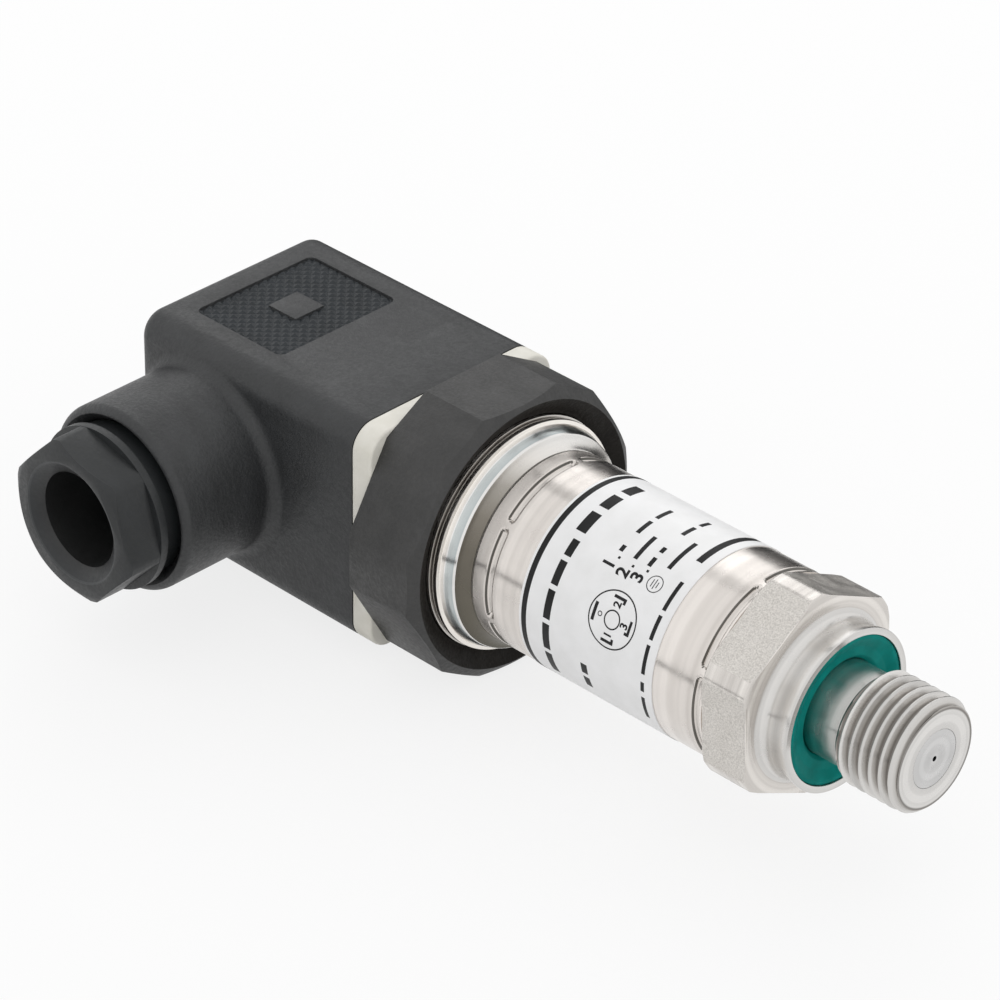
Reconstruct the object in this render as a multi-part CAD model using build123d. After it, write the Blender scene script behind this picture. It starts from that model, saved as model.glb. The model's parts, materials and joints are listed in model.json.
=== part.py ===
"""Pressure sensor with a G 1/4 stud, a stainless body and a right-angle connector plug.

Frame, in millimetres: the sensor axis is X. The origin is the centre of the sealing face on
the stud's shoulder, +X leaves through the stud, the cable gland points to -Y and the plug's
ribbed face is up, +Z.
"""

import math
import os

from build123d import *

# Clearances
fit_clearance = 0.05
seat_clearance = 0.1
easy_clearance = 0.3

# Process connection: a G 1/4 stud with a captive profile seal
thread_d = 13.157
stud_length = 12.0
stud_chamfer = 0.7
neck_d = 11.0
neck_length = 4.3
port_d = 4.0
orifice_d = 0.6
orifice_insert_d = 6.8
orifice_insert_length = 2.0
lip_d = 19.0
lip_rim = 0.3
lip_flare = 1.3
shoulder_d = 18.4
shoulder_height = 4.0
shoulder_fillet = 1.2
seal_groove_d = 17.4
seal_groove_depth = 1.9
seal_below_lip = 0.2
seal_dish = 0.5

# Spanner hexagon and the spigot that carries the tube
hex_af = 22.6
hex_corner_d = 25.0
hex_turn_deg = 3.5
hex_length = 6.2
hex_chamfer = 0.5
spigot_length = 7.2

# Measuring cell inside the spigot
chamber_d = 18.0
chamber_floor_x = -7.0
cell_length = 6.0
ring_section_width = 2.0
ring_section_height = 1.4
ring_squeeze = 0.4
ring_mean_d = 14.0
ring_corner = 0.4
cell_notch_d = 3.0
cell_notch_depth = 1.0
retainer_length = 2.6
retainer_bore_d = 12.0
spanner_slot_width = 2.0
spanner_slot_depth = 1.0

# Body tube, its rolled-in crimp beads and the label
tube_d = 22.8
tube_wall = 0.9
tube_length = 33.9
crimp_tool_r = 0.7
crimp_depth = 0.35
crimp_count = 6
crimp_span_deg = 50.0
front_crimp_inset = 0.85
rear_crimp_inset = 2.6
front_crimp_turn_deg = 127.5
rear_crimp_turn_deg = 108.0
label_inset = 7.0
label_length = 19.5
label_thickness = 0.1
label_gap_deg = 20.0

# Circuit board
board_end_gap = 0.8
board_thickness = 1.6
board_inset = 1.4
board_side_gap = 0.1
board_notch_d = 2.4
board_notch_length = 1.2
can_inset = 4.5
can_y = -0.5
can_d = 4.0
can_height = 3.4

# Turned flange ring between tube and connector base
flange_d = 27.8
flange_rim_length = 2.5
flange_groove_d = 27.2
flange_groove_width = 0.4
flange_ring_d = 27.5
flange_ring_width = 0.6
flange_cone_d = 26.6
flange_cone_front_d = 25.6
flange_cone_length = 1.8
flange_face_length = 1.15
flange_cove_sag = 0.2
flange_spigot_length = 5.2
flange_spigot_bore_d = 17.0
flange_neck_d = 25.2
flange_neck_length = 4.4
flange_neck_bore_d = 21.6
base_ring_width = 1.7
base_ring_depth = 1.1
base_ring_inset = 1.3
base_ring_corner = 0.4

# Moulded connector base: a hexagon with flat-cut corners
base_af = 33.3
base_corner_af = 34.5
base_length = 9.85
base_chamfer_radial = 2.0
base_chamfer_length = 1.6
base_face_d = 32.4
base_recess_depth = 1.3
base_floor = 1.4
pedestal_side = 21.0
pedestal_height = 2.5
pedestal_corner_r = 3.0
tower_d = 8.0
tower_height = 8.4
screw_insert_d = 5.4
screw_insert_length = 5.0

# Flat pins and their sockets
blade_circle_r = 9.0
blade_width = 6.3
blade_thickness = 0.8
blade_reach = 10.3
blade_tail = 1.6
blade_nose = 1.0
earth_reach = 1.2
contact_width = 7.0
contact_depth = 3.6
contact_length = 15.8
contact_slot_length = 11.6
contact_inset = 0.6
wire_hole_d = 2.4
wire_hole_inset = 2.2
terminal_screw_d = 2.5
terminal_screw_length = 2.0
terminal_head_d = 3.4
terminal_head_height = 1.4
terminal_slot_width = 0.6
terminal_slot_depth = 0.5

# Gasket between base and plug
gasket_thickness = 3.0
gasket_corner_r = 3.0

# Plug housing
plug_side = 28.0
plug_length = 34.8
plug_wall = 2.0
plug_end_wall = 2.4
plug_edge_r = 3.0
plug_end_edge_r = 1.6
insert_length = 17.2
insert_recess = 0.2
insert_corner_r = 1.5
patch_length = 14.1
patch_width = 18.0
patch_depth = 0.35
patch_corner_r = 1.0
patch_button_side = 4.4

# Cable boss and gland
boss_d = 22.4
boss_front = 13.2
boss_rim_r = 1.0
boss_root_r = 1.6
gland_bore_d = 18.4
gland_mouth_d = 20.6
gland_mouth_depth = 1.2
gland_seat_inset = 0.6
cable_hole_d = 12.6
gland_seal_length = 5.6
gland_seal_bore_d = 9.0
gland_seal_lead_in = 0.8
thrust_ring_length = 1.2
thrust_ring_bore_d = 10.6
gland_nut_af = 17.4
gland_nut_corner_d = 19.5
gland_nut_hex_length = 4.6
gland_nut_face_chamfer = 0.6
gland_nut_flange_d = 19.6
gland_nut_flange_length = 1.0
gland_nut_gap = 1.45
gland_nut_turn_deg = 16.0
gland_nut_bore_d = 11.4
gland_nut_mouth_d = 14.5
gland_nut_mouth_depth = 1.2

# Centre screw
screw_d = 2.9
screw_engagement = 4.2
screw_head_d = 5.6
screw_head_height = 2.2
screw_head_chamfer = 0.3
screw_slot_width = 0.8
screw_slot_depth = 1.1
screw_washer_d = 7.0
screw_washer_thickness = 0.6
screw_recess_d = 7.8
screw_recess_depth = 3.4
screw_boss_d = 10.6
screw_boss_floor = 1.6

# Internal wires
wire_d = 1.0
wire_bend_r = 2.0
wire_straight = 2.5
wire_lap = 1.2
cell_wire_d = 0.7
wire_pitch = 2.2
wire_pad_length = 2.0
lead_places = (-1.5, -0.5, 0.5, 1.5)

# Stations along the sensor axis
hex_front_x = -shoulder_height
hex_rear_x = hex_front_x - hex_length
spigot_end_x = hex_rear_x - spigot_length
tube_end_x = hex_rear_x - tube_length
cell_front_x = chamber_floor_x - ring_squeeze
cell_rear_x = cell_front_x - cell_length
retainer_rear_x = cell_rear_x - retainer_length
flange_spigot_x = tube_end_x + flange_spigot_length
flange_cone_x = tube_end_x - flange_face_length
flange_ring_x = flange_cone_x - flange_cone_length
flange_rim_x = flange_ring_x - flange_ring_width - flange_groove_width
flange_rear_x = flange_rim_x - flange_rim_length
flange_neck_x = flange_rear_x - flange_neck_length
base_front_x = flange_ring_x - seat_clearance
base_rear_x = base_front_x - base_length
base_floor_x = base_rear_x + base_floor
pedestal_x = base_rear_x - pedestal_height
gasket_rear_x = base_rear_x - gasket_thickness
plug_end_x = gasket_rear_x - plug_length
insert_front_x = gasket_rear_x - insert_recess
insert_rear_x = insert_front_x - insert_length
tower_end_x = base_rear_x - tower_height
blade_tip_x = pedestal_x - blade_reach
contact_front_x = insert_front_x - contact_inset
contact_rear_x = contact_front_x - contact_length
screw_seat_x = plug_end_x + screw_recess_depth
screw_head_x = screw_seat_x - screw_washer_thickness
screw_insert_rear_x = tower_end_x
screw_tip_x = screw_insert_rear_x + screw_engagement

# Radii of the shells that carry one another
tube_bore_r = tube_d / 2 - tube_wall
spigot_r = tube_bore_r - fit_clearance
base_bore_r = flange_neck_d / 2 + seat_clearance
base_counterbore_r = flange_d / 2 + seat_clearance

# Stations along the gland axis, measured towards -Y
gland_x = plug_end_x + boss_d / 2
side_y = -plug_side / 2
boss_end_y = side_y - boss_front
nut_flange_y = boss_end_y - gland_nut_gap
nut_hex_y = nut_flange_y - gland_nut_flange_length
nut_face_y = nut_hex_y - gland_nut_hex_length
seal_seat_y = side_y + gland_seat_inset
seal_end_y = seal_seat_y - gland_seal_length
thrust_ring_y = seal_end_y - thrust_ring_length
gland_axis = Axis((gland_x, 0, 0), (0, -1, 0))

# The four pin places, as turns about the sensor axis from +Y
pin_turns = {"1": 0.0, "2": 90.0, "3": 180.0, "earth": 270.0}


def turned(*points):
    """Revolve an outline of (x, radius) points about the sensor axis."""
    return revolve(make_face(Polyline(*points, close=True)), axis=Axis.X)


def turned_gland(*points):
    """Revolve an outline of (y, radius) points about the gland axis."""
    corners = [(gland_x + radius, y) for y, radius in points]
    return revolve(make_face(Polyline(*corners, close=True)), axis=gland_axis)


def rod(x_from, x_to, diameter):
    """A plain cylinder on the sensor axis between two stations."""
    return turned((x_from, 0), (x_from, diameter / 2), (x_to, diameter / 2), (x_to, 0))


def gland_rod(y_from, y_to, diameter):
    """A plain cylinder on the gland axis between two stations."""
    radius = diameter / 2
    return turned_gland((y_from, 0), (y_from, radius), (y_to, radius), (y_to, 0))


def prism(sketch, x_from, x_to):
    """Extrude a sketch of the YZ plane between two stations."""
    return Pos(min(x_from, x_to), 0, 0) * extrude(Plane.YZ * sketch, abs(x_to - x_from))


def square_block(side, corner_r, x_from, x_to):
    return prism(RectangleRounded(side, side, corner_r), x_from, x_to)


def centred_box(x_from, x_to, y_size, z_size, y=0.0, z=0.0):
    middle = (x_from + x_to) / 2
    return Pos(middle, y, z) * Box(abs(x_to - x_from), y_size, z_size)


def crimp_beads(x, first_turn_deg):
    """Rings of short rolled-in beads that hold the tube on the spigot under it."""
    centre_r = tube_d / 2 - crimp_depth + crimp_tool_r
    bead_start = Pos(x, centre_r, 0) * Sphere(crimp_tool_r)
    arc = revolve(
        Pos(x, centre_r) * Circle(crimp_tool_r), axis=Axis.X, revolution_arc=crimp_span_deg
    )
    bead = arc + bead_start + Rot(crimp_span_deg, 0, 0) * bead_start
    step = 360.0 / crimp_count
    first = first_turn_deg - crimp_span_deg / 2
    return [Rot(first + step * i, 0, 0) * bead for i in range(crimp_count)]


def process_connector():
    thread_r = thread_d / 2
    tip_x = stud_length
    groove_x = -seal_groove_depth
    blank = turned(
        (tip_x, 0),
        (tip_x, thread_r - stud_chamfer),
        (tip_x - stud_chamfer, thread_r),
        (neck_length, thread_r),
        (neck_length - (thread_d - neck_d) / 2, neck_d / 2),
        (groove_x, neck_d / 2),
        (groove_x, seal_groove_d / 2),
        (0, seal_groove_d / 2),
        (0, lip_d / 2),
        (-lip_rim, lip_d / 2),
        (-lip_rim - lip_flare, shoulder_d / 2),
        (hex_front_x, shoulder_d / 2),
        (hex_front_x, 0),
    )
    corner_r = hex_corner_d / 2
    hexagon = prism(
        Rot(0, 0, 30 + hex_turn_deg) * RegularPolygon(hex_af / 2, 6, major_radius=False),
        hex_front_x,
        hex_rear_x,
    )
    turned_corners = turned(
        (hex_front_x, 0),
        (hex_front_x, corner_r - hex_chamfer),
        (hex_front_x - hex_chamfer / 2, corner_r),
        (hex_rear_x + hex_chamfer / 2, corner_r),
        (hex_rear_x, corner_r - hex_chamfer),
        (hex_rear_x, 0),
    )
    body = blank + (hexagon & turned_corners)
    body += rod(hex_rear_x, spigot_end_x, 2 * spigot_r)
    root = [
        edge
        for edge in body.edges().filter_by(GeomType.CIRCLE)
        if abs(edge.arc_center.X - hex_front_x) < 0.01 and abs(edge.radius - shoulder_d / 2) < 0.01
    ]
    body = fillet(root, shoulder_fillet)
    body -= rod(spigot_end_x, chamber_floor_x, chamber_d)
    body -= rod(chamber_floor_x, tip_x, port_d)
    body -= rod(tip_x - orifice_insert_length, tip_x, orifice_insert_d)
    seat_x = chamber_floor_x + ring_section_height - ring_squeeze
    outer_r = ring_mean_d / 2 + ring_section_width / 2 + fit_clearance
    inner_r = ring_mean_d / 2 - ring_section_width / 2 - fit_clearance
    body -= turned(
        (chamber_floor_x, inner_r), (seat_x, inner_r), (seat_x, outer_r), (chamber_floor_x, outer_r)
    )
    under_bead = spigot_r - crimp_depth
    front_bead_x = hex_rear_x - front_crimp_inset
    body -= turned(
        (front_bead_x - crimp_tool_r, spigot_r + easy_clearance),
        (front_bead_x - crimp_tool_r, under_bead),
        (front_bead_x + crimp_tool_r, under_bead),
        (front_bead_x + crimp_tool_r, spigot_r + easy_clearance),
    )
    return body


def orifice_insert():
    start = stud_length - orifice_insert_length
    plug = rod(start, stud_length, orifice_insert_d - fit_clearance)
    return plug - rod(start, stud_length, orifice_d)


def profile_seal():
    """A dished ring: its face slopes in towards the neck."""
    outer_r = seal_groove_d / 2 - fit_clearance
    inner_r = neck_d / 2 + fit_clearance
    front_x = -seal_below_lip
    return turned(
        (-seal_groove_depth, inner_r),
        (-seal_groove_depth, outer_r),
        (front_x, outer_r),
        (front_x, outer_r - seal_dish),
        (front_x - seal_dish, (outer_r + inner_r) / 2),
        (front_x - seal_dish, inner_r + seal_dish),
        (front_x - 2 * seal_dish, inner_r),
    )


def pressed_ring(x_from, x_to, inner_r, outer_r, corner):
    """A ring of rubber pressed between flat walls, so its section is a box with cut corners."""
    low_x = min(x_from, x_to)
    high_x = max(x_from, x_to)
    return turned(
        (low_x, inner_r + corner),
        (low_x, outer_r - corner),
        (low_x + corner, outer_r),
        (high_x - corner, outer_r),
        (high_x, outer_r - corner),
        (high_x, inner_r + corner),
        (high_x - corner, inner_r),
        (low_x + corner, inner_r),
    )


def cell_o_ring():
    inner_r = ring_mean_d / 2 - ring_section_width / 2
    outer_r = ring_mean_d / 2 + ring_section_width / 2
    floor_x = chamber_floor_x + ring_section_height - ring_squeeze
    return pressed_ring(cell_front_x, floor_x, inner_r, outer_r, ring_corner)


def sensor_cell():
    """A ceramic disc with two locating notches in its rear edge."""
    body = rod(cell_front_x, cell_rear_x, chamber_d - 2 * seat_clearance)
    notch = rod(cell_rear_x + cell_notch_depth, cell_rear_x, cell_notch_d)
    rim = chamber_d / 2 - seat_clearance
    return body - Pos(0, rim, 0) * notch - Pos(0, -rim, 0) * notch


def cell_retaining_ring():
    outer_d = chamber_d - 2 * fit_clearance
    ring = turned(
        (cell_rear_x, retainer_bore_d / 2),
        (cell_rear_x, outer_d / 2),
        (retainer_rear_x, outer_d / 2),
        (retainer_rear_x, retainer_bore_d / 2),
    )
    slot = centred_box(
        retainer_rear_x, retainer_rear_x + spanner_slot_depth, chamber_d, spanner_slot_width
    )
    return ring - slot


def body_tube():
    outer_r = tube_d / 2
    tube = turned(
        (hex_rear_x, tube_bore_r),
        (hex_rear_x, outer_r),
        (tube_end_x, outer_r),
        (tube_end_x, tube_bore_r),
    )
    beads = crimp_beads(hex_rear_x - front_crimp_inset, front_crimp_turn_deg)
    beads += crimp_beads(tube_end_x + rear_crimp_inset, rear_crimp_turn_deg)
    return tube - beads


def label():
    """A film wrapped round the tube, with its open seam underneath."""
    start_x = hex_rear_x - label_inset
    inner_r = tube_d / 2
    outer_r = inner_r + label_thickness
    strip = make_face(
        Polyline(
            (start_x, inner_r),
            (start_x, outer_r),
            (start_x - label_length, outer_r),
            (start_x - label_length, inner_r),
            close=True,
        )
    )
    wrap = revolve(strip, axis=Axis.X, revolution_arc=360.0 - label_gap_deg)
    return Rot(-90.0 + label_gap_deg / 2, 0, 0) * wrap


def board_size():
    """Front and rear stations, and the width that the tube leaves at the board's faces."""
    front_x = spigot_end_x - board_inset
    half_width = math.sqrt(tube_bore_r**2 - (board_thickness / 2) ** 2) - board_side_gap
    return front_x, flange_spigot_x + board_end_gap, 2 * half_width


def circuit_board():
    front_x, rear_x, width = board_size()
    board = centred_box(front_x, rear_x, width, board_thickness)
    notch = rod(front_x - board_notch_length, front_x, board_notch_d)
    return board - Pos(0, width / 2, 0) * notch - Pos(0, -width / 2, 0) * notch


def board_components():
    """Chips, capacitors and two solder blocks, each standing on a face of the board."""
    front_x, rear_x, _ = board_size()
    length = front_x - rear_x
    top = board_thickness / 2
    # Each entry: share of the board's length, distance past it, y, then length, width, height, side
    pieces = [
        (0.0, 5.0, 1.0, 5.0, 4.0, 1.4, 1),
        (0.64, 0.0, 3.7, 4.9, 3.9, 1.4, 1),
        (0.6, 0.0, -4.1, 3.2, 2.5, 1.8, 1),
        (1.0, -3.3, -5.0, 2.0, 1.2, 0.9, 1),
        (0.0, 5.5, -5.2, 2.0, 1.2, 0.9, 1),
        (0.0, 7.0, -1.5, 6.0, 5.0, 1.6, -1),
        (1.0, -4.8, 3.0, 3.5, 2.8, 2.4, -1),
    ]
    blocks = [
        Pos(front_x - share * length - past, y, side * (top + high / 2)) * Box(long, wide, high)
        for share, past, y, long, wide, high, side in pieces
    ]
    can = Pos(rear_x + can_inset, can_y, top + can_height / 2) * Cylinder(can_d / 2, can_height)
    return Compound(children=blocks + [can])


def sensor_leads():
    """Four short wires from the cell's rear face to the board's front edge."""
    front_x, _, _ = board_size()
    height = board_thickness / 2 + cell_wire_d / 2
    wires = []
    for place in lead_places:
        wire = rod(cell_rear_x, front_x - wire_pad_length, cell_wire_d)
        wires.append(Pos(0, place * wire_pitch, height) * wire)
    return Compound(children=wires)


def pin_leads():
    """A wire from the board's rear edge to the tail of each flat pin."""
    _, rear_x, _ = board_size()
    board_z = board_thickness / 2 + wire_d / 2
    end_x = base_floor_x + blade_tail
    wires = []
    for place, turn in zip((1.5, 0.5, -1.5, -0.5), pin_turns.values()):
        side = -1 if turn == 270.0 else 1
        end_r = blade_circle_r - blade_thickness / 2 - wire_d / 2
        end_y = end_r * math.cos(math.radians(turn))
        end_z = end_r * math.sin(math.radians(turn))
        start = (rear_x + wire_pad_length, place * wire_pitch, side * board_z)
        first = (rear_x - wire_straight, place * wire_pitch, side * board_z)
        last = (end_x + wire_straight, end_y, end_z)
        finish = (end_x - wire_lap, end_y, end_z)
        path = FilletPolyline(start, first, last, finish, radius=wire_bend_r)
        section = Plane(origin=path @ 0, z_dir=path % 0) * Circle(wire_d / 2)
        wires.append(sweep(section, path=path))
    return Compound(children=wires)


def flange_ring():
    front_r = tube_d / 2
    cone_front_r = flange_cone_front_d / 2
    cove = SagittaArc((tube_end_x, front_r), (flange_cone_x, cone_front_r), flange_cove_sag)
    groove_x = flange_ring_x - flange_ring_width
    ring_x = flange_neck_x + base_ring_inset
    outline = cove + Polyline(
        (flange_cone_x, cone_front_r),
        (flange_ring_x, flange_cone_d / 2),
        (flange_ring_x, flange_ring_d / 2),
        (groove_x, flange_ring_d / 2),
        (groove_x, flange_groove_d / 2),
        (flange_rim_x, flange_groove_d / 2),
        (flange_rim_x, flange_d / 2),
        (flange_rear_x, flange_d / 2),
        (flange_rear_x, flange_neck_d / 2),
        (ring_x + base_ring_width, flange_neck_d / 2),
        (ring_x + base_ring_width, flange_neck_d / 2 - base_ring_depth),
        (ring_x, flange_neck_d / 2 - base_ring_depth),
        (ring_x, flange_neck_d / 2),
        (flange_neck_x, flange_neck_d / 2),
        (flange_neck_x, flange_neck_bore_d / 2),
        (flange_rear_x, flange_neck_bore_d / 2),
        (flange_rear_x, flange_spigot_bore_d / 2),
        (flange_spigot_x, flange_spigot_bore_d / 2),
        (flange_spigot_x, spigot_r),
        (tube_end_x, spigot_r),
        (tube_end_x, front_r),
    )
    ring = revolve(make_face(outline), axis=Axis.X)
    bead_x = tube_end_x + rear_crimp_inset
    return ring - turned(
        (bead_x - crimp_tool_r, spigot_r + easy_clearance),
        (bead_x - crimp_tool_r, spigot_r - crimp_depth),
        (bead_x + crimp_tool_r, spigot_r - crimp_depth),
        (bead_x + crimp_tool_r, spigot_r + easy_clearance),
    )


def base_o_ring():
    inner_r = flange_neck_d / 2 - base_ring_depth + fit_clearance
    outer_r = base_bore_r - fit_clearance
    start_x = flange_neck_x + base_ring_inset + fit_clearance
    end_x = start_x + base_ring_width - 2 * fit_clearance
    return pressed_ring(start_x, end_x, inner_r, outer_r, base_ring_corner)


def pin_slot(x_from, x_to, width, depth, turn):
    """A flat block at one of the four pin places."""
    block = centred_box(x_from, x_to, depth, width, y=blade_circle_r)
    return Rot(turn, 0, 0) * block


def connector_base():
    """Hexagon with flat-cut corners, a chamfered round face and a recess for the flange ring."""
    hexagon = prism(
        RegularPolygon(base_af / 2, 6, major_radius=False), base_front_x, base_rear_x
    )
    corners = prism(
        Rot(0, 0, 30) * RegularPolygon(base_corner_af / 2, 6, major_radius=False),
        base_front_x,
        base_rear_x,
    )
    face_r = base_face_d / 2
    chamfer_r = face_r + base_chamfer_radial
    far_r = base_af
    face = turned(
        (base_front_x, 0),
        (base_front_x, face_r),
        (base_front_x - base_chamfer_length, chamfer_r),
        (base_front_x - base_chamfer_length - (far_r - chamfer_r) / 2, far_r),
        (base_rear_x, far_r),
        (base_rear_x, 0),
    )
    body = hexagon & corners & face
    body += square_block(pedestal_side, pedestal_corner_r, base_rear_x, pedestal_x)
    body += rod(base_rear_x, tower_end_x, tower_d)
    recess_x = base_front_x - base_recess_depth
    body -= turned(
        (base_front_x, 0),
        (base_front_x, face_r - fit_clearance),
        (recess_x, base_counterbore_r),
        (flange_rear_x, base_counterbore_r),
        (flange_rear_x, base_bore_r),
        (flange_neck_x - seat_clearance, base_bore_r),
        (flange_neck_x - seat_clearance, flange_neck_bore_d / 2),
        (base_floor_x, flange_neck_bore_d / 2),
        (base_floor_x, 0),
    )
    for turn in pin_turns.values():
        body -= pin_slot(
            base_floor_x,
            pedestal_x,
            blade_width + 2 * fit_clearance,
            blade_thickness + 2 * fit_clearance,
            turn,
        )
    body -= rod(tower_end_x, tower_end_x + screw_insert_length, screw_insert_d + 2 * fit_clearance)
    return body


def contact_blade(turn, extra_reach):
    tip_x = blade_tip_x - extra_reach
    blade = centred_box(
        base_floor_x + blade_tail, tip_x, blade_thickness, blade_width, y=blade_circle_r
    )
    nose = blade.faces().sort_by(Axis.X)[0].edges().filter_by(Axis.Y)
    blade = chamfer(nose, blade_nose)
    return Rot(turn, 0, 0) * blade


def screw_insert():
    """Knurled brass bush for the centre screw, drawn plain."""
    front_x = tower_end_x + screw_insert_length
    bush = rod(tower_end_x, front_x, screw_insert_d)
    return bush - rod(tower_end_x, front_x, screw_d + 2 * fit_clearance)


def profile_gasket():
    gasket = square_block(plug_side, gasket_corner_r, base_rear_x, gasket_rear_x)
    window = square_block(
        pedestal_side + 2 * easy_clearance, pedestal_corner_r, base_rear_x, gasket_rear_x
    )
    return gasket - window


def cable_boss():
    """The round cable boss with a rounded rim, let into the housing's side wall."""
    boss_r = boss_d / 2
    inner_y = side_y + plug_wall
    rounding_y = boss_end_y + boss_rim_r
    bulge = boss_rim_r * (1 - math.sqrt(0.5))
    rim = ThreePointArc(
        (gland_x + boss_r, rounding_y),
        (gland_x + boss_r - bulge, boss_end_y + bulge),
        (gland_x + boss_r - boss_rim_r, boss_end_y),
    )
    sides = Polyline(
        (gland_x + boss_r - boss_rim_r, boss_end_y),
        (gland_x, boss_end_y),
        (gland_x, inner_y),
        (gland_x + boss_r, inner_y),
        (gland_x + boss_r, rounding_y),
    )
    return revolve(make_face(rim + sides), axis=gland_axis)


def filleted_boss():
    """The boss with a fillet at its root that stops where the housing's end starts to round."""
    boss = cable_boss()
    past_end_x = plug_end_x - plug_side
    joined = square_block(plug_side, plug_edge_r, gasket_rear_x, past_end_x) + boss
    root = []
    for edge in joined.edges():
        middle = edge @ 0.5
        on_boss = abs(math.hypot(middle.X - gland_x, middle.Z) - boss_d / 2) < 0.01
        if on_boss and edge.geom_type != GeomType.LINE and middle.Y > side_y - boss_root_r:
            root.append(edge)
    joined = fillet(root, boss_root_r)
    straight = centred_box(
        plug_end_x + plug_end_edge_r, gasket_rear_x, 4 * plug_side, plug_side
    )
    return (joined & straight) + boss


def plug_housing():
    """Moulded right-angle housing: a square shell, the cable boss and the ribbed top patch."""
    outer = square_block(plug_side, plug_edge_r, gasket_rear_x, plug_end_x)
    end_edges = outer.faces().sort_by(Axis.X)[0].edges()
    outer = fillet(end_edges, plug_end_edge_r)
    inner_side = plug_side - 2 * plug_wall
    cavity = square_block(
        inner_side, insert_corner_r, gasket_rear_x, plug_end_x + plug_end_wall
    )
    shell = outer + filleted_boss() - cavity
    screw_boss_x = screw_seat_x + screw_boss_floor
    shell += rod(plug_end_x + plug_end_wall, screw_boss_x, screw_boss_d)
    shell -= rod(plug_end_x, screw_seat_x, screw_recess_d)
    shell -= rod(screw_seat_x, screw_boss_x, screw_d + 2 * easy_clearance)
    mouth_y = boss_end_y + gland_mouth_depth
    shell -= turned_gland(
        (boss_end_y, 0),
        (boss_end_y, gland_mouth_d / 2),
        (mouth_y, gland_bore_d / 2),
        (seal_seat_y, gland_bore_d / 2),
        (seal_seat_y, 0),
    )
    shell -= gland_rod(seal_seat_y, side_y + plug_wall + easy_clearance, cable_hole_d)
    return shell - patch_pocket()


def patch_pocket():
    """A shallow field on the top face around a small raised square, centred on the gland axis."""
    top = plug_side / 2
    outline = RectangleRounded(patch_length, patch_width, patch_corner_r)
    field = Pos(gland_x, 0, top - patch_depth) * extrude(outline, 2 * patch_depth)
    button = Pos(gland_x, 0, top) * Box(patch_button_side, patch_button_side, 3 * patch_depth)
    return field - button


def contact_insert():
    """The block that holds the sockets: four through pockets round a screw channel."""
    side = plug_side - 2 * plug_wall - 2 * seat_clearance
    block = square_block(side, insert_corner_r, insert_front_x, insert_rear_x)
    for turn in pin_turns.values():
        block -= pin_slot(
            insert_front_x,
            insert_rear_x,
            contact_width + 2 * fit_clearance,
            contact_depth + 2 * fit_clearance,
            turn,
        )
    block -= rod(insert_front_x, tower_end_x - easy_clearance, tower_d + 2 * easy_clearance)
    block -= rod(insert_front_x, insert_rear_x, screw_d + 2 * easy_clearance)
    return block


def female_contact(turn):
    """A socket with a slot for the flat pin, a cross hole for the wire and a screw hole."""
    body = centred_box(
        contact_front_x, contact_rear_x, contact_depth, contact_width, y=blade_circle_r
    )
    body -= centred_box(
        contact_front_x,
        contact_front_x - contact_slot_length,
        blade_thickness + 2 * fit_clearance,
        blade_width + 2 * fit_clearance,
        y=blade_circle_r,
    )
    body -= Pos(0, blade_circle_r, 0) * rod(
        contact_rear_x, contact_rear_x + terminal_screw_length, terminal_screw_d + fit_clearance
    )
    return Rot(turn, 0, 0) * body


def terminal_screws():
    """A clamping screw behind each socket."""
    head_x = contact_rear_x - terminal_head_height
    slot = centred_box(
        head_x, head_x + terminal_slot_depth, contact_width, terminal_slot_width, y=blade_circle_r
    )
    shank = rod(
        contact_rear_x, contact_rear_x + terminal_screw_length - seat_clearance, terminal_screw_d
    )
    head = rod(head_x, contact_rear_x, terminal_head_d)
    screw = Pos(0, blade_circle_r, 0) * (shank + head) - slot
    return Compound(children=[Rot(turn, 0, 0) * screw for turn in pin_turns.values()])


def centre_screw():
    """Long cheese-head screw that holds the plug on the base."""
    head_end_x = screw_head_x - screw_head_height
    screw = rod(screw_tip_x, screw_head_x, screw_d)
    head = rod(screw_head_x, head_end_x, screw_head_d)
    head = chamfer(head.edges().sort_by(Axis.X)[0], screw_head_chamfer)
    slot = centred_box(head_end_x, head_end_x + screw_slot_depth, screw_head_d, screw_slot_width)
    return screw + (head - slot)


def screw_washer():
    washer = rod(screw_seat_x, screw_head_x, screw_washer_d)
    return washer - rod(screw_seat_x, screw_head_x, screw_d + 2 * fit_clearance)


def gland_seal():
    outer_r = gland_bore_d / 2 - easy_clearance
    return turned_gland(
        (seal_seat_y, gland_seal_bore_d / 2),
        (seal_seat_y, outer_r),
        (seal_end_y, outer_r),
        (seal_end_y, gland_seal_bore_d / 2 + gland_seal_lead_in),
        (seal_end_y + gland_seal_lead_in, gland_seal_bore_d / 2),
    )


def thrust_ring():
    outer_r = gland_bore_d / 2 - seat_clearance
    return turned_gland(
        (seal_end_y, thrust_ring_bore_d / 2),
        (seal_end_y, outer_r),
        (thrust_ring_y, outer_r),
        (thrust_ring_y, thrust_ring_bore_d / 2),
    )


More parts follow.
